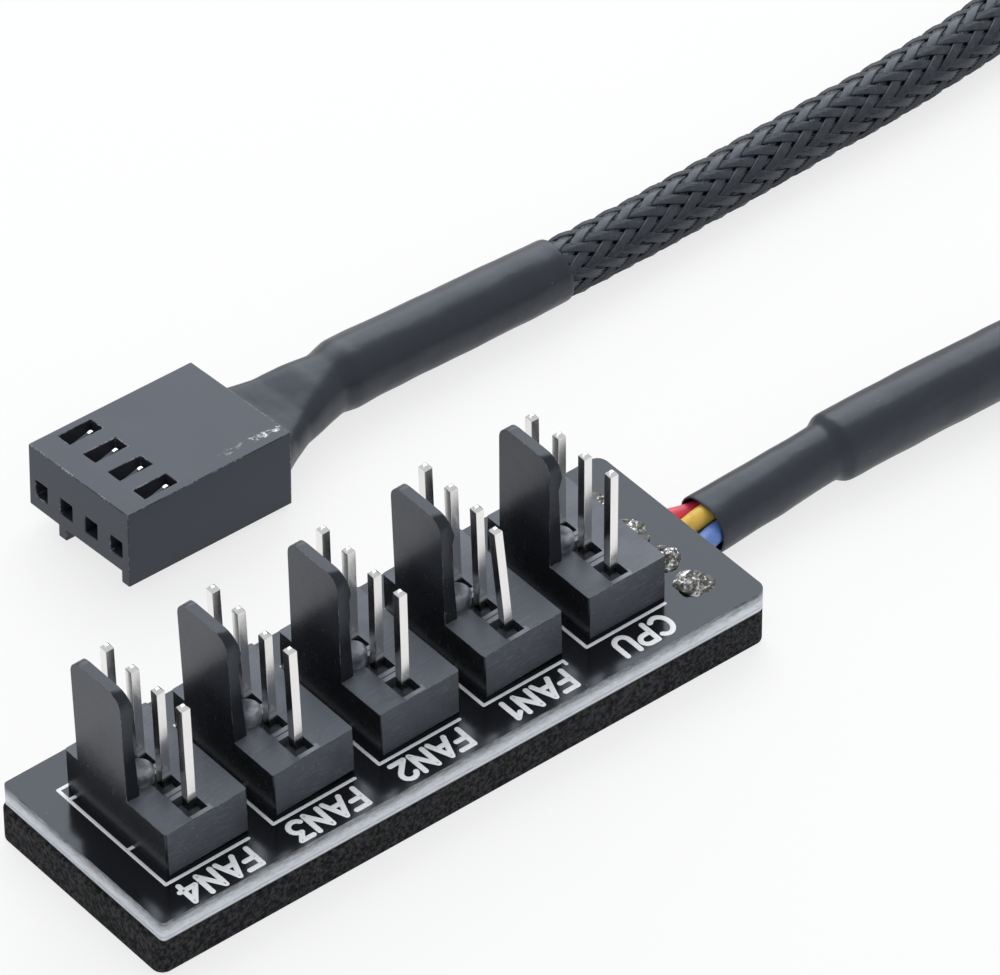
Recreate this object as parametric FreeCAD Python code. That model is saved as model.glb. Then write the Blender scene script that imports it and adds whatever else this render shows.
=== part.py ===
import FreeCAD, Part
import math
import os

# A small hub that feeds four computer fans from one motherboard header. Five four-pin friction-lock
# headers stand in a row on a narrow circuit board, which lies on a foam pad. Four soldered wires leave
# the right end through heat-shrink, run in a braided sleeve and end in a four-way crimp housing.
# Units are millimetres. Z is up, X runs along the board and the pad's underside is Z = 0.

V = FreeCAD.Vector

# Circuit board and foam pad
BOARD_LENGTH = 48.3
BOARD_WIDTH = 16.2
BOARD_SKEW = 0.55
BOARD_BACK = 8.0
BOARD_THICK = 1.6
BOARD_CORNER = 0.35
BOARD_WIRE_END_CORNER = 0.8
PAD_THICK = 2.8
PAD_PROUD = 0.3
PAD_CORNER = 0.8
PAD_FLOOR = 0.7

# Contact grid that the headers and the plug share
PITCH = 2.54
CONTACTS = 4
PIN_SIDE = 0.64

# Headers
HEADER_NAMES = ("fan4", "fan3", "fan2", "fan1", "cpu")
HEADER_PITCH = 8.4
FIRST_PIN_ROW_X = -18.45
HEADER_Y = -0.06
BASE_TO_WALL_SIDE = 2.85
BASE_TO_OPEN_SIDE = 3.5
BASE_HEIGHT = 3.5
BASE_EDGE = 0.15
PIN_HEIGHT = 11.5
PIN_TAIL = 1.3
PIN_POINT = 0.22
PIN_HOLE = 1.1
LOCK_WALL_WIDTH = 5.0
LOCK_WALL_HEIGHT = 12.2
LOCK_WALL_FOOT = 1.0
LOCK_WALL_TIP = 0.75
LOCK_WALL_ROUND = 1.1
LOCK_NOSE = 0.3
LOCK_NOSE_DROP = 1.7
LOCK_NOSE_RISE = 1.0
POCKET_ALONG = 1.45
POCKET_ACROSS = 1.76
POCKET_DEPTH = 0.8
KEY_RADIUS = 0.6
KEY_HEIGHT = 0.45
LEAN_DEGREES = {"fan4": 1.5, "fan3": 2.2, "fan2": 0.9, "fan1": 1.8}
BENT_PINS = {
    ("fan4", 4): (0.25, 0.35),
    ("fan3", 3): (-0.15, -0.3),
    ("fan3", 4): (0.15, 0.2),
    ("fan2", 3): (-0.1, -0.15),
    ("fan1", 4): (-0.4, 0.25),
    ("cpu", 1): (-0.2, -0.1),
    ("cpu", 4): (0.2, 0.2),
}
PIN_LIFT = {"fan1": 0.5}

# Solder
SOLDER_FOOT = 0.95
SOLDER_CLEARANCE = 0.15
SOLDER_NECK = 0.5
SOLDER_RISE = 1.1
BLOB_RADIUS = 1.25
BLOB_HEIGHT = 0.95
WIRE_HOLE = 1.0
WIRE_HOLE_X = 21.0

# Wires, sleeve and heat-shrink
WIRE_DIAMETER = 1.36
WIRE_CLEARANCE = 0.03
CONDUCTOR_DIAMETER = 0.7
CONDUCTOR_PROUD = 0.35
STRIPPED = 0.9
BUNDLE_OFFSET = 1.0
SLEEVE_DIAMETER = 3.95
SLEEVE_WALL = 0.17
SHRINK_WALL = 0.2
BEND_SHARE = 0.45
NOTCH_FRONT = -6.3
NOTCH_BACK = 5.3
NOTCH_START = 19.6

# Plug housing. It lies a little askew: yaw about Z, then pitch that lowers its rear, then roll
PLUG_FACE = V(-5.07, 25.24, 0.89)
PLUG_YAW = 1.7
PLUG_PITCH = 3.3
PLUG_ROLL = -2.8
PLUG_LENGTH = 13.6
PLUG_BODY_HEIGHT = 4.9
RIB_HEIGHT = 0.9
RIB_THICK = 0.78
RIB_CLEARANCE = 0.1
HOLE_ACROSS = 1.22
HOLE_UP = 1.28
HOLE_DEPTH = 1.1
HOLE_HEIGHT = 1.67
CAVITY_ACROSS = 2.14
CAVITY_UP = 2.2
WINDOW_START = 1.98
WINDOW_LENGTH = 2.7
WINDOW_ACROSS = 1.2
PLUG_EDGE = 0.12

# Crimp terminals
TERMINAL_CLEARANCE = 0.06
TERMINAL_WALL = 0.2
TERMINAL_BOX = 5.2
TERMINAL_START = 0.15
BARREL_LENGTH = 3.0
BARREL_WALL = 0.18
BARREL_GAP = 1.2
BARREL_SLIT = 0.2
WEB_ACROSS = 1.0
WIRE_END_SHARE = 0.25
LANCE_START = 2.7
LANCE_LENGTH = 1.9
LANCE_RISE = 1.15
LANCE_ACROSS = 0.7
LANCE_THICK = 0.2

# Sizes that follow
BOARD_BOTTOM = PAD_THICK
BOARD_TOP = BOARD_BOTTOM + BOARD_THICK
HEADER_WIDTH = PITCH * CONTACTS
PLUG_WIDTH = PITCH * CONTACTS
PLUG_BOTTOM = RIB_HEIGHT
HOLE_Z = PLUG_BOTTOM + HOLE_HEIGHT
WIRE_RADIUS = WIRE_DIAMETER / 2
WIRE_TOP_ROW = BOARD_BOTTOM - WIRE_RADIUS - WIRE_CLEARANCE
WIRE_FLOOR_ROW = WIRE_RADIUS
CROSSING_WIRE_Z = (2 * WIRE_FLOOR_ROW + WIRE_TOP_ROW) / 3
LOCK_WALL_Y = PITCH / 2
SLEEVE_BORE = SLEEVE_DIAMETER - 2 * SLEEVE_WALL

# Route of the sleeve's centre line, from the hub's heat-shrink round its loop to the plug's
SLEEVE_ROUTE = [
    V(37.8, 0.62, 2.4),
    V(45.6, 0.42, 2.4),
    V(55.4, -0.1, 2.4),
    V(66.5, -1.7, 2.15),
    V(78.0, -4.4, 2.0),
    V(90.5, -7.8, 2.0),
    V(104.0, -10.2, 2.0),
    V(118.3, -9.4, 2.0),
    V(131.0, -2.9, 2.0),
    V(138.2, 9.2, 2.0),
    V(137.6, 23.2, 2.0),
    V(129.4, 34.2, 2.0),
    V(116.2, 38.4, 2.0),
    V(102.6, 36.4, 2.0),
    V(90.0, 31.4, 2.0),
    V(77.9, 27.3, 2.0),
    V(66.3, 26.3, 2.0),
    V(56.5, 26.2, 2.0),
    V(47.5, 26.0, 2.0),
    V(39.2, 25.85, 2.1),
    V(31.0, 26.1, 2.3),
    V(24.5, 26.4, 2.38),
    V(18.2, 26.6, 2.48),
]

# Stations of each heat-shrink along its axis, with its heading in degrees, width, height and corner
# radius there
HUB_SHRINK = [
    (V(26.5, 0.6, 1.92), 0, 4.4, 3.65, 1.75),
    (V(30.0, 0.6, 2.08), 0, 4.2, 4.0, 1.92),
    (V(33.8, 0.62, 2.2), 0, 4.0, 4.0, 1.95),
    (V(37.0, 0.65, 2.38), -1, 3.9, 3.9, 1.9),
    (V(37.7, 0.62, 2.4), -1, 4.75, 4.75, 2.3),
    (V(45.6, 0.42, 2.4), -2, 4.75, 4.75, 2.3),
    (V(55.2, -0.09, 2.4), -5, 4.7, 4.7, 2.3),
]
PLUG_SHRINK = [
    (V(10.5, 26.0, 2.52), PLUG_YAW, 7.5, 2.5, 1.1),
    (V(12.2, 26.15, 2.54), 3, 6.1, 3.0, 1.3),
    (V(14.2, 26.3, 2.6), 5, 5.15, 3.9, 1.7),
    (V(16.2, 26.45, 2.52), 5, 4.4, 4.4, 2.1),
    (V(17.6, 26.6, 2.5), 2, 4.95, 4.95, 2.4),
    (V(19.4, 26.58, 2.48), -1, 4.8, 4.8, 2.3),
    (V(24.5, 26.4, 2.38), -2, 4.65, 4.65, 2.25),
    (V(31.0, 26.1, 2.31), -2, 4.6, 4.6, 2.25),
    (V(35.4, 25.97, 2.28), -2, 4.5, 4.5, 2.2),
]

# Flat mouth of the plug's heat-shrink
PLUG_MOUTH_ACROSS = 9.6
PLUG_MOUTH_UP = 2.3
PLUG_MOUTH_CORNER = 1.0

# Each wire's hole, its place round the bundle as (left, up) on the way to the plug, and its cavity
WIRES = {
    "red": {"hole_y": 4.2, "slot": (1, 0), "cavity": 4},
    "yellow": {"hole_y": 1.0, "slot": (0, 1), "cavity": 3},
    "black": {"hole_y": -5.35, "slot": (0, -1), "cavity": 2},
    "blue": {"hole_y": -2.3, "slot": (-1, 0), "cavity": 1},
}
EDGE_Y = {"red": 2.55, "yellow": 0.72, "blue": -1.2, "black": -1.2}
EDGE_X = 24.7
MOUTH = {"red": (1.22, 0.2), "yellow": (0.0, 0.88), "blue": (-1.22, 0.2), "black": (0.0, -0.78)}
MIDWAY = {"red": (1.12, 0.02), "yellow": (0.0, 0.98), "blue": (-1.12, 0.02), "black": (0.0, -0.93)}
PLUG_NECK = V(14.2, 26.3, 2.6)
PLUG_FLAT = V(11.3, 26.1, 2.53)
NECK = {"red": (1.58, 0.0), "yellow": (0.42, 0.98), "blue": (-1.58, 0.0), "black": (-0.42, -0.98)}
FLAT = {"red": (2.22, 0.0), "yellow": (0.72, 0.0), "blue": (-2.22, 0.0), "black": (-0.72, 0.0)}


def block(x0, x1, y0, y1, z0, z1):
    return Part.makeBox(x1 - x0, y1 - y0, z1 - z0, V(x0, y0, z0))


def save(name, shape):
    shape.exportStep("parts/" + name + ".step")


def rounded_rectangle(along, across, radius):
    """Closed outline in the XY plane, centred on the origin."""
    corners = [(along / 2, across / 2), (-along / 2, across / 2)]
    corners += [(-along / 2, -across / 2), (along / 2, -across / 2)]
    ends = []
    edges = []
    for quarter, (x, y) in enumerate(corners):
        centre = V(x - math.copysign(radius, x), y - math.copysign(radius, y), 0)
        arc = []
        for share in (0, 45, 90):
            angle = math.radians(90 * quarter + share)
            arc.append(centre + V(math.cos(angle), math.sin(angle), 0) * radius)
        edges.append(Part.Arc(*arc).toShape())
        ends.append((arc[0], arc[2]))
    for quarter in range(4):
        start = ends[quarter][1]
        finish = ends[(quarter + 1) % 4][0]
        edges.append(Part.LineSegment(start, finish).toShape())
    return Part.Wire(Part.__sortEdges__(edges))


def plate(corners, z0, z1):
    """Plate with upright sides. Each corner is (x, y, radius)."""
    points = [V(x, y, z0) for x, y, radius in corners]
    solid = Part.Face(Part.makePolygon(points + points[:1])).extrude(V(0, 0, z1 - z0))
    for x, y, radius in corners:
        upright = [edge for edge in solid.Edges if is_upright_at(edge, x, y)]
        solid = solid.makeFillet(radius, upright)
    return solid


def is_upright_at(edge, x, y):
    return all(abs(end.X - x) + abs(end.Y - y) < 0.001 for end in edge.Vertexes)


def contact_offsets():
    """Places of the contacts along their row, first to last, from the middle of the row."""
    return [PITCH * ((CONTACTS - 1) / 2 - number) for number in range(CONTACTS)]


def pin_row_x(index):
    return FIRST_PIN_ROW_X + HEADER_PITCH * index


def lean(shape, name, index):
    """A header that was soldered askew tips over its wall-side bottom edge."""
    angle = -LEAN_DEGREES.get(name, 0)
    if angle:
        hinge = V(pin_row_x(index) - BASE_TO_WALL_SIDE, 0, BOARD_TOP)
        shape.rotate(hinge, V(0, 1, 0), angle)
    return shape


def board_corners(proud, corner, wire_end_corner):
    """The board was snapped off askew, so it widens towards the wires."""
    right = BOARD_LENGTH / 2
    left = -right - proud
    back = BOARD_BACK + proud / 2
    front = BOARD_BACK - BOARD_WIDTH
    return [
        (right, back, wire_end_corner),
        (left, back, corner),
        (left, front, corner),
        (right, front - BOARD_SKEW, wire_end_corner),
    ]


def circuit_board():
    board = plate(board_corners(0, BOARD_CORNER, BOARD_WIRE_END_CORNER), BOARD_BOTTOM, BOARD_TOP)
    drills = []
    for index in range(len(HEADER_NAMES)):
        for offset in contact_offsets():
            at = V(pin_row_x(index), HEADER_Y + offset, BOARD_BOTTOM)
            drills.append(Part.makeCylinder(PIN_HOLE / 2, BOARD_THICK, at))
    for wire in WIRES.values():
        at = V(WIRE_HOLE_X, wire["hole_y"], BOARD_BOTTOM)
        drills.append(Part.makeCylinder(WIRE_HOLE / 2, BOARD_THICK, at))
    return board.cut(drills)


def foam_pad():
    pad = plate(board_corners(PAD_PROUD, PAD_CORNER, PAD_CORNER), 0, PAD_THICK)
    half_row = HEADER_WIDTH / 2
    hollows = []
    for index in range(len(HEADER_NAMES)):
        x = pin_row_x(index)
        reach = SOLDER_FOOT + SOLDER_CLEARANCE
        hollows.append(block(x - reach, x + reach, HEADER_Y - half_row, HEADER_Y + half_row,
                             PAD_FLOOR, PAD_THICK))
    hollows.append(block(NOTCH_START, BOARD_LENGTH / 2, NOTCH_FRONT, NOTCH_BACK, 0, PAD_THICK))
    return pad.cut(hollows)


def lock_wall(x):
    """Friction wall with a nose on its inner side, as a profile drawn in XZ and trimmed to a round top."""
    outer = x - BASE_TO_WALL_SIDE
    foot = outer + LOCK_WALL_FOOT
    tip = outer + LOCK_WALL_TIP
    top = BOARD_TOP + LOCK_WALL_HEIGHT
    base_top = BOARD_TOP + BASE_HEIGHT
    nose_top = top - LOCK_NOSE_DROP
    points = [
        V(outer, 0, BOARD_TOP),
        V(foot, 0, BOARD_TOP),
        V(foot, 0, base_top),
        V(tip, 0, nose_top - LOCK_NOSE_RISE),
        V(tip + LOCK_NOSE, 0, nose_top),
        V(tip, 0, top),
        V(outer, 0, top),
        V(outer, 0, BOARD_TOP),
    ]
    y0 = HEADER_Y + LOCK_WALL_Y - LOCK_WALL_WIDTH / 2
    wall = Part.Face(Part.makePolygon(points)).extrude(V(0, LOCK_WALL_WIDTH, 0))
    wall.translate(V(0, y0, 0))
    thick = 2 * LOCK_WALL_FOOT
    outline = rounded_rectangle(2 * LOCK_WALL_HEIGHT, LOCK_WALL_WIDTH, LOCK_WALL_ROUND)
    trim = Part.Face(outline).extrude(V(0, 0, thick))
    trim.rotate(V(0, 0, 0), V(0, 1, 0), 90)
    trim.translate(V(outer - thick / 4, y0 + LOCK_WALL_WIDTH / 2, BOARD_TOP))
    return wall.common(trim)


def header(index, name):
    x = pin_row_x(index)
    base_top = BOARD_TOP + BASE_HEIGHT
    half = HEADER_WIDTH / 2
    base = block(x - BASE_TO_WALL_SIDE, x + BASE_TO_OPEN_SIDE,
                 HEADER_Y - half, HEADER_Y + half, BOARD_TOP, base_top)
    upright = [edge for edge in base.Edges if abs(edge.tangentAt(edge.FirstParameter).z) > 0.9]
    base = base.makeFillet(BASE_EDGE, upright)
    pockets = []
    for offset in contact_offsets():
        y = HEADER_Y + offset
        pockets.append(block(x - POCKET_ALONG / 2, x + POCKET_ALONG / 2, y - POCKET_ACROSS / 2,
                             y + POCKET_ACROSS / 2, base_top - POCKET_DEPTH, base_top))
        pockets.append(block(x - PIN_SIDE / 2, x + PIN_SIDE / 2, y - PIN_SIDE / 2,
                             y + PIN_SIDE / 2, BOARD_TOP, base_top))
    key_x = x - BASE_TO_WALL_SIDE + LOCK_WALL_FOOT
    key = Part.makeCylinder(KEY_RADIUS, KEY_HEIGHT, V(key_x, HEADER_Y, base_top))
    moulding = base.cut(pockets).fuse([lock_wall(x), key]).removeSplitter()
    return lean(moulding, name, index)


def square(centre, side):
    h = side / 2
    corners = [(-h, -h), (h, -h), (h, h), (-h, h), (-h, -h)]
    return Part.makePolygon([centre + V(dx, dy, 0) for dx, dy in corners])


def pin(index, name, number):
    """Square pin with a pointed tip and tail, bent above the base where the real one is."""
    foot = V(pin_row_x(index), HEADER_Y + contact_offsets()[number - 1], 0)
    bend_x, bend_y = BENT_PINS.get((name, number), (0, 0))
    blunt = PIN_SIDE - 2 * PIN_POINT
    lift = PIN_LIFT.get(name, 0)
    low = BOARD_BOTTOM - PIN_TAIL + lift
    knee = BOARD_TOP + BASE_HEIGHT
    tip = BOARD_TOP + PIN_HEIGHT + lift
    share = 1 - PIN_POINT / (tip - knee)
    stations = [
        (V(0, 0, low), blunt),
        (V(0, 0, low + PIN_POINT), PIN_SIDE),
        (V(0, 0, knee), PIN_SIDE),
        (V(bend_x * share, bend_y * share, tip - PIN_POINT), PIN_SIDE),
        (V(bend_x, bend_y, tip), blunt),
    ]
    shape = Part.makeLoft([square(foot + at, side) for at, side in stations], True, True)
    return lean(shape, name, index)


def header_solder(index, name, pins):
    joints = []
    for number, offset in enumerate(contact_offsets()):
        at = V(pin_row_x(index), HEADER_Y + offset, BOARD_BOTTOM)
        cone = Part.makeCone(SOLDER_FOOT, SOLDER_NECK, SOLDER_RISE, at, V(0, 0, -1))
        joints.append(cone.cut(pins[number]))
    return Part.makeCompound(joints)


def rounded_path(name, points):
    """Straight runs joined by tangent arcs, each as large as its two runs allow."""
    edges = []
    at = points[0]
    smallest = None
    for before, corner, after in zip(points, points[1:], points[2:]):
        arriving = (corner - before).normalize()
        leaving = (after - corner).normalize()
        turn = arriving.getAngle(leaving)
        shorter = min(before.distanceToPoint(corner), corner.distanceToPoint(after))
        setback = BEND_SHARE * shorter
        radius = setback / math.tan(turn / 2)
        start = corner - arriving * setback
        finish = corner + leaving * setback
        inward = (leaving - arriving).normalize()
        middle = corner + inward * (radius / math.cos(turn / 2) - radius)
        edges.append(Part.LineSegment(at, start).toShape())
        edges.append(Part.Arc(start, middle, finish).toShape())
        at = finish
        smallest = radius if smallest is None else min(smallest, radius)
        print(f"{name}: radius {radius:.1f} at {corner.x:.1f}, {corner.y:.1f}")
    edges.append(Part.LineSegment(at, points[-1]).toShape())
    path = Part.Wire(edges)
    print(f"{name}: length {path.Length:.1f}, smallest radius {smallest:.2f}")
    return path


def tube(name, path, diameter, bore=0.0):
    """Round tube or rod along a path."""
    start = path.Edges[0]
    direction = start.tangentAt(start.FirstParameter)
    origin = start.valueAt(start.FirstParameter)

    def rod(size):
        ring = Part.Wire(Part.makeCircle(size / 2, origin, direction))
        return path.makePipeShell([ring], True, False)

    solid = rod(diameter)
    expected = math.pi * diameter ** 2 / 4 * path.Length
    if bore:
        solid = solid.cut(rod(bore))
        expected -= math.pi * bore ** 2 / 4 * path.Length
    print(f"{name}: volume {solid.Volume:.1f}, section times length {expected:.1f}")
    return solid


def beside(axis, left, offset):
    """Point beside an axis point, to the left and up."""
    return axis + left * offset[0] + V(0, 0, offset[1])


def left_of(direction):
    flat = V(direction.x, direction.y, 0).normalize()
    return V(-flat.y, flat.x, 0)


def bundle_points(slot):
    """The sleeve's route moved sideways and up to a wire's place in the bundle."""
    points = []
    last = len(SLEEVE_ROUTE) - 1
    for number, corner in enumerate(SLEEVE_ROUTE):
        arriving = corner - SLEEVE_ROUTE[max(number - 1, 0)]
        leaving = SLEEVE_ROUTE[min(number + 1, last)] - corner
        if number == 0:
            arriving = leaving
        if number == last:
            leaving = arriving
        before = left_of(arriving)
        after = left_of(leaving)
        mean = (before + after).normalize()
        miter = mean * (1 / mean.dot(before))
        points.append(beside(corner, miter, slot))
    return points


def plug_placement():
    yaw = FreeCAD.Rotation(V(0, 0, 1), PLUG_YAW)
    pitch = FreeCAD.Rotation(V(0, 1, 0), PLUG_PITCH)
    roll = FreeCAD.Rotation(V(1, 0, 0), PLUG_ROLL)
    return FreeCAD.Placement(PLUG_FACE, yaw * pitch * roll)


def plug_point(x, y, z):
    """Place in the plug's own frame: x behind the mating face, y to the left, z above its ribs' feet."""
    return plug_placement().multVec(V(x, y, z))


def place_plug(shape):
    """Moves a shape that was drawn in the plug's own frame to where the plug lies."""
    shape.Placement = plug_placement()
    return shape


def conductor_corner(name):
    """Where a stripped end turns up into its hole, level with its wire."""
    height = CROSSING_WIRE_Z if name == "black" else WIRE_TOP_ROW
    return V(WIRE_HOLE_X, WIRES[name]["hole_y"], height)


def wire_points(name):
    wire = WIRES[name]
    leaving = V(0, 1, 0)
    returning = V(0, -1, 0)
    slot = (wire["slot"][0] * BUNDLE_OFFSET, wire["slot"][1] * BUNDLE_OFFSET)
    hole = conductor_corner(name)
    edge = V(EDGE_X, EDGE_Y[name], WIRE_FLOOR_ROW if name == "black" else WIRE_TOP_ROW)
    points = [hole + (edge - hole).normalize() * STRIPPED, edge]
    points.append(beside(HUB_SHRINK[0][0], leaving, MOUTH[name]))
    points.append(beside(HUB_SHRINK[1][0], leaving, MIDWAY[name]))
    points.append(beside(HUB_SHRINK[2][0], leaving, slot))
    points += bundle_points(slot)
    points.append(beside(PLUG_NECK, returning, NECK[name]))
    points.append(beside(PLUG_FLAT, returning, FLAT[name]))
    y = contact_offsets()[wire["cavity"] - 1]
    barrel = HOLE_DEPTH + TERMINAL_START + TERMINAL_BOX + BARREL_GAP
    points.append(plug_point(PLUG_LENGTH, y, HOLE_Z))
    points.append(plug_point(barrel + WIRE_END_SHARE * BARREL_LENGTH, y, HOLE_Z))
    return points


def conductor(name):
    """Stripped and tinned end, bent up through its hole in the board."""
    corner = conductor_corner(name)
    top = V(corner.x, corner.y, BOARD_TOP + CONDUCTOR_PROUD)
    path = rounded_path("conductor_" + name, [wire_points(name)[0], corner, top])
    return tube("conductor_" + name, path, CONDUCTOR_DIAMETER)


def solder_blob(name, tail):
    """Domed joint on top of the board, over the end of a conductor."""
    dome_radius = (BLOB_RADIUS ** 2 + BLOB_HEIGHT ** 2) / (2 * BLOB_HEIGHT)
    centre = V(WIRE_HOLE_X, WIRES[name]["hole_y"], BOARD_TOP + BLOB_HEIGHT - dome_radius)
    ball = Part.makeSphere(dome_radius, centre)
    keep = block(centre.x - dome_radius, centre.x + dome_radius, centre.y - dome_radius,
                 centre.y + dome_radius, BOARD_TOP, BOARD_TOP + BLOB_HEIGHT)
    return ball.common(keep).cut(tail)


def shrink_skin(stations, wall, start=None):
    """Solid through rounded sections along an axis, each drawn in by a wall."""
    sections = [start] if start else []
    for centre, heading, width, height, radius in stations:
        outline = rounded_rectangle(height - 2 * wall, width - 2 * wall, radius - wall)
        turn = FreeCAD.Rotation(V(0, 0, 1), heading) * FreeCAD.Rotation(V(0, 0, 1), V(1, 0, 0))
        outline.Placement = FreeCAD.Placement(centre, turn)
        sections.append(outline)
    return Part.makeLoft(sections, True, True)


def heat_shrink(stations):
    return shrink_skin(stations, 0).cut(shrink_skin(stations, SHRINK_WALL))


def plug_end(wall):
    """Flat mouth of the plug's heat-shrink, square to the housing's rear face."""
    outline = rounded_rectangle(PLUG_MOUTH_UP - 2 * wall, PLUG_MOUTH_ACROSS - 2 * wall,
                                PLUG_MOUTH_CORNER - wall)
    place = plug_placement()
    turn = place.Rotation * FreeCAD.Rotation(V(0, 0, 1), V(1, 0, 0))
    outline.Placement = FreeCAD.Placement(plug_point(PLUG_LENGTH, 0, HOLE_Z), turn)
    return outline


def plug_heat_shrink():
    outside = shrink_skin(PLUG_SHRINK, 0, plug_end(0))
    return outside.cut(shrink_skin(PLUG_SHRINK, SHRINK_WALL, plug_end(SHRINK_WALL)))


def plug_housing():
    """Crimp housing, drawn with its mating face at x = 0 and its ribs on the floor."""
    half = PLUG_WIDTH / 2
    body_top = PLUG_BOTTOM + PLUG_BODY_HEIGHT
    body = block(0, PLUG_LENGTH, -half, half, PLUG_BOTTOM, body_top)
    long_edges = [edge for edge in body.Edges if abs(edge.tangentAt(edge.FirstParameter).x) > 0.9]
    body = body.makeFillet(PLUG_EDGE, long_edges)
    inner = LOCK_WALL_WIDTH / 2 + RIB_CLEARANCE - LOCK_WALL_Y
    ribs = [
        block(0, PLUG_LENGTH, inner, inner + RIB_THICK, 0, PLUG_BOTTOM),
        block(0, PLUG_LENGTH, -half, -half + RIB_THICK, 0, PLUG_BOTTOM + PLUG_EDGE),
    ]
    body = body.fuse(ribs)
    hollows = []
    for y in contact_offsets():
        hollows.append(block(0, HOLE_DEPTH, y - HOLE_ACROSS / 2, y + HOLE_ACROSS / 2,
                             HOLE_Z - HOLE_UP / 2, HOLE_Z + HOLE_UP / 2))
        hollows.append(block(HOLE_DEPTH, PLUG_LENGTH, y - CAVITY_ACROSS / 2, y + CAVITY_ACROSS / 2,
                             HOLE_Z - CAVITY_UP / 2, HOLE_Z + CAVITY_UP / 2))
        hollows.append(block(WINDOW_START, WINDOW_START + WINDOW_LENGTH, y - WINDOW_ACROSS / 2,
                             y + WINDOW_ACROSS / 2, HOLE_Z, body_top))
    return place_plug(body.cut(hollows).removeSplitter())


def lock_lance(y, box_top):
    """Springy tongue that rises from the contact's box into the housing's window."""
    tip = LANCE_START + LANCE_LENGTH
    points = [
        V(LANCE_START, 0, box_top - TERMINAL_WALL / 2),
        V(tip, 0, box_top + LANCE_RISE - LANCE_THICK),
        V(tip, 0, box_top + LANCE_RISE),
        V(LANCE_START, 0, box_top),
        V(LANCE_START, 0, box_top - TERMINAL_WALL / 2),
    ]
    tongue = Part.Face(Part.makePolygon(points)).extrude(V(0, LANCE_ACROSS, 0))
    tongue.translate(V(0, y - LANCE_ACROSS / 2, 0))
    return tongue


def crimp_terminal(y):
    """Folded box contact with an open barrel closed round the wire's insulation."""
    across = CAVITY_ACROSS - 2 * TERMINAL_CLEARANCE
    up = CAVITY_UP - 2 * TERMINAL_CLEARANCE
    x0 = HOLE_DEPTH + TERMINAL_START
    x1 = x0 + TERMINAL_BOX
    box = block(x0, x1, y - across / 2, y + across / 2, HOLE_Z - up / 2, HOLE_Z + up / 2)
    inside = block(x0, x1, y - across / 2 + TERMINAL_WALL, y + across / 2 - TERMINAL_WALL,
                   HOLE_Z - up / 2 + TERMINAL_WALL, HOLE_Z + up / 2 - TERMINAL_WALL)
    x2 = x1 + BARREL_GAP
    bore_radius = WIRE_RADIUS + WIRE_CLEARANCE
    outer = bore_radius + BARREL_WALL
    axis = V(1, 0, 0)
    barrel = Part.makeCylinder(outer, BARREL_LENGTH, V(x2, y, HOLE_Z), axis)
    bore = Part.makeCylinder(bore_radius, BARREL_LENGTH, V(x2, y, HOLE_Z), axis)
    web = block(x1 - TERMINAL_WALL, x2 + TERMINAL_WALL, y - WEB_ACROSS / 2, y + WEB_ACROSS / 2,
                HOLE_Z - up / 2, HOLE_Z - bore_radius)
    slit = block(x2, x2 + BARREL_LENGTH, y - BARREL_SLIT / 2, y + BARREL_SLIT / 2, HOLE_Z,
                 HOLE_Z + outer)
    lance = lock_lance(y, HOLE_Z + up / 2)
    return place_plug(box.cut(inside).fuse([barrel, web, lance]).cut([bore, slit]))


os.makedirs("parts", exist_ok=True)

save("circuit_board", circuit_board())
save("foam_pad", foam_pad())

for header_index, header_name in enumerate(HEADER_NAMES):
    save("header_" + header_name, header(header_index, header_name))
    header_pins = [pin(header_index, header_name, number + 1) for number in range(CONTACTS)]
    for number, shape in enumerate(header_pins):
        save(f"pin_{header_name}_{number + 1}", shape)
    save("solder_" + header_name, header_solder(header_index, header_name, header_pins))

for wire_name in WIRES:
    tail_shape = conductor(wire_name)
    save("conductor_" + wire_name, tail_shape)
    save("solder_joint_" + wire_name, solder_blob(wire_name, tail_shape))
    wire_path = rounded_path("wire_" + wire_name, wire_points(wire_name))
    save("wire_" + wire_name, tube("wire_" + wire_name, wire_path, WIRE_DIAMETER))

sleeve_path = rounded_path("braided_sleeve", SLEEVE_ROUTE)
save("braided_sleeve", tube("braided_sleeve", sleeve_path, SLEEVE_DIAMETER, SLEEVE_BORE))
save("heat_shrink_hub", heat_shrink(HUB_SHRINK))
save("heat_shrink_plug", plug_heat_shrink())
save("plug_housing", plug_housing())
for number, terminal_y in enumerate(contact_offsets()):
    save(f"crimp_terminal_{number + 1}", crimp_terminal(terminal_y))
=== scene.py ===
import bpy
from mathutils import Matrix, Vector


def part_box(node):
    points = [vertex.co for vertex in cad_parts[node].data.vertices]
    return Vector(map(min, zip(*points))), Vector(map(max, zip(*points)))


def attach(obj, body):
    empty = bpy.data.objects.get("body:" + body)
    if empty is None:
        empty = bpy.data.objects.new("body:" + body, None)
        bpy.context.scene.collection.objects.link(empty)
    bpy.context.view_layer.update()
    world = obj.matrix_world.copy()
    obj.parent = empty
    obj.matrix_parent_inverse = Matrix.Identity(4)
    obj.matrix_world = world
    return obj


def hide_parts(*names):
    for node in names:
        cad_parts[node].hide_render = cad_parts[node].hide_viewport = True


bl_info = {
    "name": "Fan Hub Looks",
    "version": (1, 0, 0),
    "blender": (4, 5, 0),
    "location": "3D View > Sidebar > Fan Hub",
    "description": "Dresses a small fan hub: board, headers, pins, solder, wires, sleeve and plug",
    "category": "Object",
}

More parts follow.
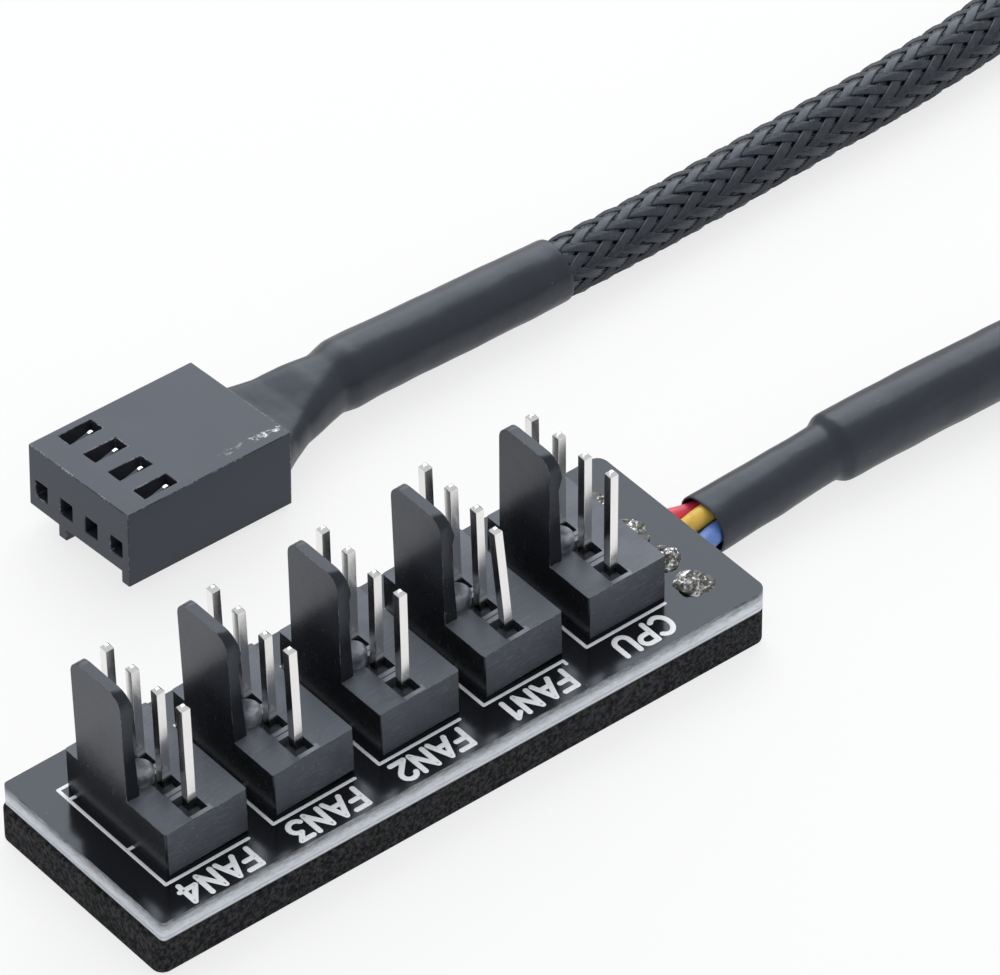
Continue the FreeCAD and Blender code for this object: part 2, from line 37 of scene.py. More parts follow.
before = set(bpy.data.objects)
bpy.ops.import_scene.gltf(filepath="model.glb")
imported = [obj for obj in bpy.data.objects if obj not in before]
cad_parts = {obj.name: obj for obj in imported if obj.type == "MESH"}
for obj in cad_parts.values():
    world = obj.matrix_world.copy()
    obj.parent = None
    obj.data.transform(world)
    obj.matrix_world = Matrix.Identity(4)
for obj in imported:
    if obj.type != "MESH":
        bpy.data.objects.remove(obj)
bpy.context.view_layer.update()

import math

import bpy
import numpy as np
from bpy.props import FloatProperty, FloatVectorProperty, IntProperty, PointerProperty
from mathutils import Matrix, Vector, noise

MM = 0.001
HEADERS = ("fan4", "fan3", "fan2", "fan1", "cpu")
LABELS = ("FAN4", "FAN3", "FAN2", "FAN1", "CPU")
WIRE_NAMES = ("red", "yellow", "black", "blue")

# The board, and the row of headers on it
BOARD_LOW, BOARD_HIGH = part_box("circuit_board")
BOARD_TOP = BOARD_HIGH[2]
RIM = 1.2 * MM
FIRST_HEADER_X = -18.45 * MM
HEADER_STEP = 8.4 * MM
HEADER_Y = -0.06 * MM
CONTACT_STEP = 2.54 * MM
BASE_HEIGHT = 3.5 * MM
BASE_TOP = BOARD_TOP + BASE_HEIGHT
KEY_RADIUS = 0.98 * MM
KEY_DEPTH = 1.2 * MM

# What is added to the solids
JOINT_RADIUS = 1.28 * MM
JOINT_HEIGHT = 0.42 * MM
PRINT_FLATNESS = 0.1
FILAMENTS = 4
GROUP_WIDTH = 0.68 * MM
BRAID_WAVE = 0.15 * MM
BRAID_CROWN = 0.08 * MM
CORE_DEPTH = 0.07 * MM
SHRINK_VOXEL = 0.14 * MM
SHRINK_DENTS = 0.12 * MM
WING_OFFSET = 0.57 * MM
WING_THICKNESS = 0.26 * MM
CAMERA_PLACE = (-0.25394, -0.32262, 0.38588)

# The plug's mating face, and its turns about Z, Y and X
PLUG_FACE = (-5.07 * MM, 25.24 * MM, 0.89 * MM)
PLUG_TURN = (math.radians(1.7), math.radians(3.3), math.radians(-2.8))

# Route of the cable's centre line, in metres, from the hub's heat-shrink to the plug's
CABLE_ROUTE = [
    (0.0378, 0.00062, 0.0024),
    (0.0456, 0.00042, 0.0024),
    (0.0554, -0.0001, 0.0024),
    (0.0665, -0.0017, 0.00215),
    (0.078, -0.0044, 0.002),
    (0.0905, -0.0078, 0.002),
    (0.104, -0.0102, 0.002),
    (0.1183, -0.0094, 0.002),
    (0.131, -0.0029, 0.002),
    (0.1382, 0.0092, 0.002),
    (0.1376, 0.0232, 0.002),
    (0.1294, 0.0342, 0.002),
    (0.1162, 0.0384, 0.002),
    (0.1026, 0.0364, 0.002),
    (0.09, 0.0314, 0.002),
    (0.0779, 0.0273, 0.002),
    (0.0663, 0.0263, 0.002),
    (0.0565, 0.0262, 0.002),
    (0.0475, 0.026, 0.002),
    (0.0392, 0.02585, 0.0021),
    (0.031, 0.0261, 0.0023),
    (0.0245, 0.0264, 0.00238),
    (0.0182, 0.0266, 0.00248),
]


def arc(cx, cy, rx, ry, start, finish, steps=10):
    """Points on an elliptical arc, with its angles in degrees."""
    angles = [math.radians(start + (finish - start) * step / steps) for step in range(steps + 1)]
    return [(cx + rx * math.cos(a), cy + ry * math.sin(a)) for a in angles]


# Stroke letters, one unit high
GLYPHS = {
    "F": (0.4, [[(0.58, 1), (0, 1), (0, 0)], [(0, 0.52), (0.46, 0.52)]]),
    "A": (0.74, [[(0, 0), (0.37, 1), (0.74, 0)], [(0.14, 0.34), (0.6, 0.34)]]),
    "N": (0.62, [[(0, 0), (0, 1), (0.62, 0), (0.62, 1)]]),
    "C": (0.66, [arc(0.38, 0.5, 0.38, 0.5, 48, 312, 18)]),
    "P": (0.6, [[(0, 0), (0, 1)] + arc(0.32, 0.74, 0.28, 0.26, 90, -90) + [(0, 0.48)]]),
    "U": (0.62, [[(0, 1)] + arc(0.31, 0.31, 0.31, 0.31, 180, 360) + [(0.62, 1)]]),
    "1": (0.3, [[(0, 0.76), (0.26, 1), (0.26, 0)]]),
    "2": (0.6, [arc(0.29, 0.71, 0.29, 0.29, 165, -38) + [(0, 0), (0.6, 0)]]),
    "3": (0.6, [[(0.02, 1), (0.56, 1)] + arc(0.27, 0.31, 0.32, 0.31, 90, -150)]),
    "4": (0.68, [[(0.52, 0), (0.52, 1), (0, 0.3), (0.68, 0.3)]]),
}


class HubSizes(bpy.types.PropertyGroup):
    """Sizes of what is added to the solids."""

    edge: FloatProperty(name="Moulded edge", description="Rounding of the plastic's edges",
                        default=0.1 * MM, unit="LENGTH", precision=6)
    pin_edge: FloatProperty(name="Pin edge", description="Rounding of the pins' edges",
                            default=0.03 * MM, unit="LENGTH", precision=6)
    silk_width: FloatProperty(name="Silk line", description="Width of the printed lines",
                              default=0.26 * MM, unit="LENGTH", precision=6)
    letter_height: FloatProperty(name="Letter height", description="Height of the printed letters",
                                 default=1.7 * MM, unit="LENGTH", precision=6)
    letter_stroke: FloatProperty(name="Letter stroke", description="Width of the letters' strokes",
                                 default=0.4 * MM, unit="LENGTH", precision=6)
    strands: IntProperty(name="Strand groups", description="Groups of filaments in each direction",
                         default=12, min=4)
    braid_lead: FloatProperty(name="Braid lead", description="Length in which a group goes once round",
                              default=24 * MM, unit="LENGTH", precision=6)
    braid_radius: FloatProperty(name="Braid radius", description="Mean radius of the braid",
                                default=1.8 * MM, unit="LENGTH", precision=6)


class HubColours(bpy.types.PropertyGroup):
    """Colours of the finishes."""

    mask: FloatVectorProperty(name="Solder mask", description="Board colour", subtype="COLOR",
                              default=(0.008, 0.0085, 0.0095))
    silk: FloatVectorProperty(name="Silkscreen", description="Printed lines and letters",
                              subtype="COLOR", default=(0.98, 0.99, 1.0))
    laminate: FloatVectorProperty(name="Laminate edge", description="Cut edge of the board",
                                  subtype="COLOR", default=(0.82, 0.85, 0.89))
    foam: FloatVectorProperty(name="Foam", description="Pad colour", subtype="COLOR",
                              default=(0.06, 0.054, 0.064))
    plastic: FloatVectorProperty(name="Plastic", description="Lock walls and rubbed edges", subtype="COLOR",
                                 default=(0.011, 0.012, 0.0145))
    # Lighter than the plastic: painted light on the tops and fronts of the headers, and the base of the
    # keys' painted highlight.
    haze_with_painted_light: FloatVectorProperty(name="Hazy plastic", description="Tops and fronts of the headers",
                              subtype="COLOR", default=(0.078, 0.083, 0.096))
    matt: FloatVectorProperty(name="Plug plastic", description="Satin moulding of the plug",
                              subtype="COLOR", default=(0.026, 0.0285, 0.038))
    gloss: FloatVectorProperty(name="Gloss tint", description="Cool tint of what the black parts mirror",
                               subtype="COLOR", default=(0.74, 0.85, 1.0))
    # Also the painted highlight on the rounded edges.
    scuff_and_edge_highlight: FloatVectorProperty(name="Scuff", description="Rubbed plastic", subtype="COLOR",
                               default=(0.3, 0.31, 0.33))
    tin: FloatVectorProperty(name="Tin", description="Skin of the pins", subtype="COLOR",
                             default=(0.85, 0.84, 0.82))
    shrink: FloatVectorProperty(name="Heat-shrink", description="Heat-shrink tube", subtype="COLOR",
                                default=(0.026, 0.0275, 0.0315))
    braid: FloatVectorProperty(name="Braid", description="Sleeve filaments", subtype="COLOR",
                               default=(0.036, 0.038, 0.043))
    red: FloatVectorProperty(name="Red wire", description="Insulation", subtype="COLOR",
                             default=(0.8, 0.05, 0.1))
    yellow: FloatVectorProperty(name="Yellow wire", description="Insulation", subtype="COLOR",
                                default=(0.88, 0.55, 0.08))
    black: FloatVectorProperty(name="Black wire", description="Insulation", subtype="COLOR",
                               default=(0.015, 0.015, 0.017))
    blue: FloatVectorProperty(name="Blue wire", description="Insulation", subtype="COLOR",
                              default=(0.13, 0.25, 0.62))
    floor: FloatVectorProperty(name="Floor", description="Floor colour", subtype="COLOR",
                               default=(0.9, 0.9, 0.9))


class HubStage(bpy.types.PropertyGroup):
    """Light and camera."""

    world_level: FloatProperty(name="Surroundings", description="Strength of the even light", default=0.68)
    panel_power: FloatProperty(name="Back panel", description="Power of the large soft panel", default=5.7)
    side_power: FloatProperty(name="Side panel", description="Power of the soft side panel", default=0.4)
    lens: FloatProperty(name="Lens", description="Focal length in millimetres", default=321.1)
    azimuth: FloatProperty(name="Azimuth", description="Camera's turn about Z", unit="ROTATION",
                           default=math.radians(-39.217))
    elevation: FloatProperty(name="Elevation", description="Camera's height angle", unit="ROTATION",
                             default=math.radians(41.656))
    roll: FloatProperty(name="Roll", description="Camera's roll", unit="ROTATION",
                        default=math.radians(0.324))


def hub_sizes():
    return bpy.context.scene.hub_sizes


def hub_colours():
    return bpy.context.scene.hub_colours


class Value:
    """A shader socket that adds Math nodes when it is used in an expression."""

    def __init__(self, tree, socket):
        self.tree = tree
        self.socket = socket

    def math(self, operation, other, reflected=False):
        """One Math node on this value and another. Reflected puts the other first."""
        node = self.tree.nodes.new("ShaderNodeMath")
        node.operation = operation
        connect(self.tree, node.inputs[0], other if reflected else self)
        connect(self.tree, node.inputs[1], self if reflected else other)
        return Value(self.tree, node.outputs[0])

    def __add__(self, other):
        return self.math("ADD", other)

    def __sub__(self, other):
        return self.math("SUBTRACT", other)

    def __rsub__(self, other):
        return self.math("SUBTRACT", other, True)

    def __mul__(self, other):
        return self.math("MULTIPLY", other)

    def __mod__(self, other):
        return self.math("MODULO", other)

    def pingpong(self, reach):
        """Runs up to reach and back again."""
        return self.math("PINGPONG", reach)

    def between(self, low, high):
        """0 below low, 1 above high, and smooth between."""
        node = self.tree.nodes.new("ShaderNodeMapRange")
        node.interpolation_type = "SMOOTHSTEP"
        connect(self.tree, node.inputs["Value"], self)
        node.inputs["From Min"].default_value = low
        node.inputs["From Max"].default_value = high
        return Value(self.tree, node.outputs["Result"])

    __radd__ = __add__
    __rmul__ = __mul__


def connect(tree, socket, value):
    if isinstance(value, Value):
        tree.links.new(value.socket, socket)
    elif hasattr(value, "__len__") and len(value) == 3 and len(socket.default_value) == 4:
        socket.default_value = (*value, 1.0)
    else:
        socket.default_value = value


class Finish:
    """A material with one Principled shader, and methods that add the nodes behind it."""

    def __init__(self, name):
        self.material = bpy.data.materials.new(name)
        self.material.use_nodes = True
        self.tree = self.material.node_tree
        self.shader = self.tree.nodes["Principled BSDF"]
        self.place = self.node("ShaderNodeTexCoord", output="Object")

    def node(self, kind, settings=None, values=None, output=0):
        node = self.tree.nodes.new(kind)
        for name, value in (settings or {}).items():
            setattr(node, name, value)
        for name, value in (values or {}).items():
            connect(self.tree, node.inputs[name], value)
        return Value(self.tree, node.outputs[output])

    def stretched(self, factors):
        return self.node("ShaderNodeVectorMath", {"operation": "MULTIPLY"}, {0: self.place, 1: factors})

    def grain(self, per_mm, detail=3.0, roughness=0.5, distortion=0.0, source=None):
        values = {"Vector": source or self.place, "Scale": per_mm / MM, "Detail": detail,
                  "Roughness": roughness, "Distortion": distortion}
        return self.node("ShaderNodeTexNoise", None, values, "Fac")

    def cells(self, per_mm):
        values = {"Vector": self.place, "Scale": per_mm / MM}
        return self.node("ShaderNodeTexVoronoi", {"feature": "F1"}, values, "Distance")

    def along(self, axis):
        """The place along one axis: 0 is X, 1 is Y and 2 is Z."""
        return self.node("ShaderNodeSeparateXYZ", None, {"Vector": self.place}, axis)

    def mixed(self, factor, first, second):
        node = self.tree.nodes.new("ShaderNodeMix")
        node.data_type = "RGBA"
        connect(self.tree, node.inputs["Factor"], factor)
        connect(self.tree, node.inputs[6], first)
        connect(self.tree, node.inputs[7], second)
        return Value(self.tree, node.outputs[2])

    def bumped(self, height, depth_mm):
        values = {"Height": height, "Distance": depth_mm * MM}
        return self.node("ShaderNodeBump", None, values)

    def set(self, sockets):
        for name, value in sockets.items():
            connect(self.tree, self.shader.inputs[name], value)
        return self.material


FINISHES = {}


def finish(name):
    """The material of that name, made once."""
    if name not in FINISHES:
        FINISHES[name] = MAKERS[name]()
    return FINISHES[name]


def moulded_plastic():
    """Black satin plastic with rubbed streaks, specks and a faint waviness."""
    colours = hub_colours()
    look = Finish("moulded_plastic")
    streaks = look.grain(0.9, 5, 0.62, 0.8, look.stretched((1.0, 2.6, 0.7)))
    specks = look.grain(5.5, 2, 0.5)
    rubbed = streaks.between(0.6, 0.76) * specks.between(0.48, 0.66)
    fine = look.grain(14, 2, 0.6)
    wavy = look.grain(0.55, 2, 0.4)
    return look.set({
        "Base Color": look.mixed(rubbed * 0.35, colours.plastic, colours.scuff_and_edge_highlight),
        "Roughness": 0.19 + 0.08 * wavy + 0.2 * rubbed + 0.06 * fine,
        "Specular Tint": colours.gloss,
        "Normal": look.bumped(fine * 0.22 + wavy * 0.6 + rubbed * 0.3, 0.02),
    })


def hazy_plastic_with_painted_light():
    """Tops and fronts of the headers: rougher skin, scratched, in a lighter grey than the walls, which is
    painted light; the tops are lighter than the fronts, the pale land between the pockets is a painted
    highlight, and the thin groove along its middle is darkened with painted shade.
    """
    colours = hub_colours()
    look = Finish("hazy_plastic_with_painted_light")
    beside = (look.along(0) - (header_x(0) - HEADER_STEP / 2)) % HEADER_STEP
    from_gap = (look.along(1) + 20 * CONTACT_STEP - HEADER_Y).pingpong(CONTACT_STEP / 2)
    near_pins = beside.between(3.42 * MM, 3.5 * MM) * (1.0 - beside.between(5.0 * MM, 5.1 * MM))
    normal = look.node("ShaderNodeNewGeometry", output="Normal")
    upward = look.node("ShaderNodeSeparateXYZ", None, {"Vector": normal}, 2).between(0.3, 0.7)
    near_pins = near_pins * look.along(2).between(BASE_TOP - 0.5 * MM, BASE_TOP - 0.4 * MM) * upward
    land = (1.0 - from_gap.between(0.5 * MM, 0.62 * MM)) * near_pins
    groove = (1.0 - from_gap.between(0.03 * MM, 0.08 * MM)) * near_pins
    scratches = look.grain(8, 3, 0.6, 0.2, look.stretched((0.12, 1.0, 1.0))).between(0.45, 0.7)
    patches = look.grain(0.45, 3, 0.6).between(0.35, 0.65)
    specks = look.grain(6.5, 2, 0.5).between(0.66, 0.72)
    # Painted light: the fronts take a darker copy of this grey and the tops a lighter one.
    front = tuple(0.8 * part for part in colours.haze_with_painted_light)
    top = tuple(1.3 * part for part in colours.haze_with_painted_light)
    skin = look.mixed(scratches * 0.35 * patches + specks * 0.5, look.mixed(upward, front, top),
                      (0.2, 0.205, 0.22))
    # Painted highlight on the land between the pockets.
    skin = look.mixed(land * 0.6, skin, (0.26, 0.265, 0.28))
    return look.set({
        # Painted shade in the thin groove along the middle of the land.
        "Base Color": look.mixed(groove * 0.9, skin, (0.008, 0.008, 0.009)),
        "Roughness": 0.42 + 0.14 * patches - 0.1 * land,
        "Specular Tint": colours.gloss,
        "Normal": look.bumped(scratches * 0.5 * patches + specks * 0.6 - groove * 2.0, 0.012),
    })


def key_with_painted_highlight():
    """Smooth skin of the keys beside the lock walls, lightened in soft cloudy patches by a painted
    highlight.
    """
    colours = hub_colours()
    look = Finish("key_with_painted_highlight")
    cloud = look.grain(1.1, 2, 0.5)
    return look.set({
        "Base Color": look.mixed(cloud.between(0.35, 0.65), colours.haze_with_painted_light, (0.26, 0.27, 0.29)),
        "Roughness": 0.28 + 0.1 * cloud,
        "Specular Tint": colours.gloss,
        "Normal": look.bumped(cloud, 0.02),
    })


def plug_plastic():
    """Even satin plastic with a line of white rubs near the plug's back edge."""
    colours = hub_colours()
    look = Finish("plug_plastic")
    fine = look.grain(12, 2, 0.6)
    cloud = look.grain(0.3, 2, 0.4)
    x, y, z = look.along(0), look.along(1), look.along(2)
    stretch = x.between(3.4 * MM, 5.0 * MM) * (1.0 - x.between(8.9 * MM, 9.5 * MM))
    sway = look.grain(1.4, 2, 0.5) * (0.9 * MM)
    line = (y + sway).between(22.0 * MM, 22.16 * MM) * (1.0 - (y + sway).between(22.3 * MM, 22.5 * MM))
    broken = look.grain(2.6, 4, 0.7, 0.8).between(0.47, 0.56)
    rubs = stretch * line * broken * z.between(4.0 * MM, 4.6 * MM)
    strong = 0.25 + 0.7 * x.between(6.0 * MM, 7.5 * MM)
    return look.set({
        "Base Color": look.mixed(rubs * strong, colours.matt, (0.85, 0.86, 0.88)),
        "Roughness": 0.36 + 0.05 * fine + 0.05 * cloud,
        "Specular Tint": colours.gloss,
        "Normal": look.bumped(fine * 0.2 + rubs, 0.012),
    })


def edge_wear_and_highlight():
    """The rounded edges of the plastic, rubbed light here and there: wear, and a painted highlight along the
    edges as well.
    """
    colours = hub_colours()
    look = Finish("edge_wear_and_highlight")
    patches = look.grain(0.5, 3, 0.6)
    specks = look.grain(5.0, 3, 0.6)
    rubbed = patches.between(0.4, 0.6) * specks.between(0.42, 0.6)
    return look.set({
        "Base Color": look.mixed(rubbed * 0.7, colours.plastic, colours.scuff_and_edge_highlight),
        "Roughness": 0.3 + 0.2 * rubbed,
        "Specular Tint": colours.gloss,
        "Normal": look.bumped(specks, 0.02),
    })


def tinned_pin():
    """Drawn and tinned wire with faint lengthwise lines."""
    colours = hub_colours()
    look = Finish("tinned_pin")
    lines = look.grain(2.2, 3, 0.6, 0.0, look.stretched((4.0, 4.0, 0.25)))
    stains = look.grain(0.6, 3, 0.6)
    return look.set({
        "Base Color": look.mixed(stains.between(0.5, 0.85) * 0.3, colours.tin, (0.6, 0.59, 0.57)),
        "Metallic": 1.0,
        "Roughness": 0.12 + 0.08 * lines,
        "Normal": look.bumped(lines, 0.001),
    })


def rough_solder():
    """Hand-made joint: bright, lumpy and pitted, with dark flux in its hollows."""
    look = Finish("rough_solder")
    lumps = look.grain(1.0, 3, 0.6, 0.8)
    pits = look.grain(3.0, 2, 0.6)
    flux = (lumps * 0.65 + pits * 0.35).between(0.42, 0.5)
    return look.set({
        "Base Color": look.mixed(flux * 0.92, (0.66, 0.66, 0.64), (0.03, 0.027, 0.02)),
        "Metallic": 1.0 - flux * 0.9,
        "Roughness": 0.16 + 0.4 * pits,
        "Normal": look.bumped(lumps * 0.6 + pits * 0.5, 0.1),
    })


def solder_mask():
    """Black solder mask, satin, with a faint orange peel and a little dust."""
    colours = hub_colours()
    look = Finish("solder_mask")
    peel = look.grain(2.4, 3, 0.5)
    dust = look.cells(0.62).between(0.0, 0.05)
    slow = look.grain(0.12, 2, 0.5)
    return look.set({
        "Base Color": look.mixed((1.0 - dust) * 0.35, colours.mask, (0.5, 0.5, 0.5)),
        "Roughness": 0.1 + 0.06 * peel + 0.03 * slow,
        "Specular Tint": colours.gloss,
        "Normal": look.bumped(peel * 0.2 + slow * 0.8, 0.012),
    })


def cut_laminate():
    """Milled glass-epoxy edge, pale and fibrous, with painted shade: dark near the top and lighter towards
    its foot, and a dark line along the foot where the board sits on the foam.
    """
    colours = hub_colours()
    look = Finish("cut_laminate")
    fibres = look.grain(1.6, 5, 0.7, 0.3, look.stretched((0.3, 0.3, 3.0)))
    chips = look.grain(4.2, 3, 0.65, 0.0, look.stretched((0.5, 0.5, 1.3)))
    streaks = (fibres * 0.6 + chips * 0.4).between(0.34, 0.66)
    height = look.along(2)
    # Painted shade: dark near the top, lighter further down.
    down = 1.0 - height.between(BOARD_TOP - 1.15 * MM, BOARD_TOP + 0.1 * MM)
    # Painted shade: a dark line along the foot, where the board meets the foam.
    foot = height.between(BOARD_LOW[2] + 0.02 * MM, BOARD_LOW[2] + 0.14 * MM)
    seam = height.between(BOARD_LOW[2] + 0.26 * MM, BOARD_LOW[2] + 0.32 * MM)
    groove = 1.0 - seam * (1.0 - height.between(BOARD_LOW[2] + 0.34 * MM, BOARD_LOW[2] + 0.4 * MM)) * 0.35
    light = (0.14 + 0.88 * down + 0.42 * (streaks - 0.5)) * foot * groove
    return look.set({
        "Base Color": look.mixed(light, (0.035, 0.037, 0.042), colours.laminate),
        "Roughness": 0.4 + 0.2 * chips,
        "Normal": look.bumped(streaks * 0.6 + chips * 0.5, 0.07),
    })


def silk_ink():
    """White print, slightly uneven."""
    colours = hub_colours()
    look = Finish("silk_ink")
    patchy = look.grain(4.0, 3, 0.6)
    return look.set({
        "Base Color": look.mixed(patchy.between(0.55, 0.8) * 0.12, colours.silk, (0.45, 0.46, 0.46)),
        "Roughness": 0.5 + 0.1 * patchy,
        "Normal": look.bumped(patchy, 0.01),
    })


def closed_foam():
    """Dark foam, finely grained, with a faint purple and green speckle."""
    colours = hub_colours()
    look = Finish("closed_foam")
    grains = look.grain(3.2, 4, 0.7)
    tint = look.grain(1.7, 3, 0.6).between(0.4, 0.6)
    lumps = look.grain(1.2, 3, 0.6)
    warm = look.mixed(tint, colours.foam, (0.043, 0.05, 0.043))
    return look.set({
        "Base Color": look.mixed(grains.between(0.38, 0.64), (0.006, 0.006, 0.007), warm),
        "Specular IOR Level": 0.15,
        "Roughness": 0.85 + 0.1 * lumps,
        "Normal": look.bumped(grains + lumps * 0.5, 0.14),
    })


def heat_shrink():
    """Satin heat-shrink with soft dents and a few pale specks."""
    colours = hub_colours()
    look = Finish("heat_shrink")
    dents = look.grain(0.42, 2, 0.5)
    skin = look.grain(7.0, 3, 0.6)
    specks = look.cells(0.7).between(0.0, 0.045)
    return look.set({
        "Base Color": look.mixed((1.0 - specks) * 0.6, colours.shrink, (0.45, 0.45, 0.46)),
        "Roughness": 0.31 + 0.08 * dents + 0.05 * skin,
        "Specular Tint": colours.gloss,
        "Normal": look.bumped(dents * 1.3 + skin * 0.12, 0.07),
    })


def filament():
    """Black monofilament."""
    colours = hub_colours()
    look = Finish("filament")
    tone = look.grain(1.5, 3, 0.6)
    return look.set({
        "Base Color": look.mixed(tone.between(0.3, 0.75), colours.braid, (0.062, 0.065, 0.072)),
        "Roughness": 0.2 + 0.12 * tone,
        "Specular Tint": colours.gloss,
        "Normal": look.bumped(look.grain(9.0, 2, 0.5), 0.006),
    })


def sleeve_shadow():
    """What shows in the gaps of the braid."""
    look = Finish("sleeve_shadow")
    tone = look.grain(2.0, 2, 0.5)
    return look.set({
        "Base Color": look.mixed(tone, (0.002, 0.002, 0.002), (0.005, 0.005, 0.006)),
        "Specular IOR Level": 0.1,
        "Roughness": 0.8 + 0.1 * tone,
    })


def insulation(colour_name):
    """Makes a maker for one colour of wire."""

    def make():
        colours = hub_colours()
        look = Finish("insulation_" + colour_name)
        tone = look.grain(1.3, 2, 0.5)
        colour = getattr(colours, colour_name)
        darker = tuple(0.75 * part for part in colour)
        return look.set({
            "Base Color": look.mixed(tone.between(0.4, 0.75) * 0.6, colour, darker),
            "Roughness": 0.34 + 0.1 * tone,
            "Normal": look.bumped(look.grain(5.0, 2, 0.5), 0.008),
        })

    return make


def spring_brass():
    """Tinned spring brass of the crimp terminals."""
    look = Finish("spring_brass")
    tone = look.grain(1.6, 3, 0.6)
    return look.set({
        "Base Color": look.mixed(tone, (0.95, 0.94, 0.92), (0.8, 0.79, 0.77)),
        "Metallic": 0.75,
        "Roughness": 0.42 + 0.12 * tone,
        "Normal": look.bumped(tone, 0.01),
    })


MAKERS = {maker.__name__: maker for maker in (
    moulded_plastic, hazy_plastic_with_painted_light, key_with_painted_highlight, plug_plastic, edge_wear_and_highlight, tinned_pin, rough_solder,
    solder_mask, cut_laminate, silk_ink, closed_foam, heat_shrink, filament, sleeve_shadow, spring_brass)}
for wire_colour in WIRE_NAMES:
    MAKERS["insulation_" + wire_colour] = insulation(wire_colour)


def select_only(piece):
    bpy.ops.object.select_all(action="DESELECT")
    piece.select_set(True)
    bpy.context.view_layer.objects.active = piece


def add_modifier(piece, kind, **settings):
    modifier = piece.modifiers.new(kind.title(), kind)
    for name, value in settings.items():
        setattr(modifier, name, value)
    select_only(piece)
    bpy.ops.object.modifier_apply(modifier=modifier.name)


def new_object(name, data):
    piece = bpy.data.objects.new(name, data)
    bpy.context.collection.objects.link(piece)
    return piece


def settle(piece, *finishes, slot, stands_for=()):
    """Gives a piece its materials and body, and hides the nodes that it stands for. The slot is not used."""
    piece.data.materials.clear()
    for name in finishes:
        piece.data.materials.append(finish(name))
    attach(piece, "root")
    if stands_for:
        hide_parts(*stands_for)
    return piece


def clean_copy(node, name):
    """A merged copy of a solid's mesh with its flat faces joined."""
    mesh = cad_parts[node].data.copy()
    piece = new_object(name, mesh)
    select_only(piece)
    bpy.ops.mesh.customdata_custom_splitnormals_clear()
    bpy.ops.object.mode_set(mode="EDIT")
    bpy.ops.mesh.select_all(action="SELECT")
    bpy.ops.mesh.remove_doubles(threshold=0.001 * MM)
    bpy.ops.mesh.dissolve_degenerate(threshold=0.02 * MM)
    bpy.ops.mesh.dissolve_limited(angle_limit=math.radians(1.0))
    bpy.ops.object.mode_set(mode="OBJECT")
    for face in mesh.polygons:
        face.material_index = 0
    return piece


def round_edges(piece, width, segments=2, edge_material=-1):
    add_modifier(piece, "BEVEL", width=width, segments=segments, limit_method="ANGLE",
                 angle_limit=math.radians(30), material=edge_material, use_clamp_overlap=True)
    select_only(piece)
    bpy.ops.object.shade_smooth_by_angle(angle=math.radians(35))
    add_modifier(piece, "WEIGHTED_NORMAL", weight=90, keep_sharp=True)


class HUB_OT_headers(bpy.types.Operator):
    """Adds the five headers with rounded edges, rubbed and with a painted highlight"""

    bl_idname = "hub.headers"
    bl_label = "Headers"

    def execute(self, context):
        sizes = hub_sizes()
        for header in HEADERS:
            piece = clean_copy("header_" + header, "moulding_" + header)
            settle(piece, "moulded_plastic", "edge_wear_and_highlight", "hazy_plastic_with_painted_light", slot="header_plastic",
                   stands_for=["header_" + header])
            # The tops and fronts of the bases take the lighter finish with painted light.
            for face in piece.data.polygons:
                outward = max(face.normal.z, -face.normal.y)
                if outward > 0.95 and face.center.z < BASE_TOP + 0.2 * MM:
                    face.material_index = 2
            round_edges(piece, sizes.edge, 2, 1)
        for index, header in enumerate(HEADERS):
            self.key(index, header)
        return {"FINISHED"}

    def key(self, index, header):
        """Round key between the lock wall's foot and the pockets."""
        bpy.ops.object.select_all(action="DESELECT")
        place = (header_x(index) - 1.02 * MM, -0.02 * MM, BASE_TOP + 0.3 * MM)
        bpy.ops.mesh.primitive_cylinder_add(vertices=48, radius=KEY_RADIUS, depth=KEY_DEPTH, location=place)
        piece = bpy.context.object
        piece.name = "key_" + header
        bpy.ops.object.transform_apply(location=True, rotation=True, scale=True)
        settle(piece, "key_with_painted_highlight", slot="header_plastic")
        round_edges(piece, 0.25 * MM, 4)


class HUB_OT_pins(bpy.types.Operator):
    """Adds the twenty pins with softened edges"""

    bl_idname = "hub.pins"
    bl_label = "Pins"

    def execute(self, context):
        sizes = hub_sizes()
        for header in HEADERS:
            for number in range(1, 5):
                node = f"pin_{header}_{number}"
                piece = clean_copy(node, f"tinned_{header}_{number}")
                settle(piece, "tinned_pin", slot="tinned_pin", stands_for=[node])
                round_edges(piece, sizes.pin_edge, 2)
        return {"FINISHED"}


class HUB_OT_board(bpy.types.Operator):
    """Adds the circuit board with its pale cut edge"""

    bl_idname = "hub.board"
    bl_label = "Circuit board"

    def execute(self, context):
        piece = clean_copy("circuit_board", "board")
        settle(piece, "solder_mask", "cut_laminate", slot="circuit_board",
               stands_for=["circuit_board"])
        for face in piece.data.polygons:
            x, y, z = face.center
            outside = (abs(x) > BOARD_HIGH[0] - RIM or y > BOARD_HIGH[1] - RIM
                       or y < BOARD_LOW[1] + RIM)
            if abs(face.normal.z) < 0.5 and outside:
                face.material_index = 1
        round_edges(piece, 0.05 * MM, 2)
        return {"FINISHED"}


def straight_runs(stroke):
    """A stroke cut at its sharp corners, so that every part keeps its width."""
    runs = [[stroke[0]]]
    for before, place, after in zip(stroke, stroke[1:], stroke[2:] + [None]):
        runs[-1].append(place)
        if after:
            turn = (Vector(place) - Vector(before)).angle(Vector(after) - Vector(place))
            if turn > math.radians(40):
                runs.append([place])
    return runs


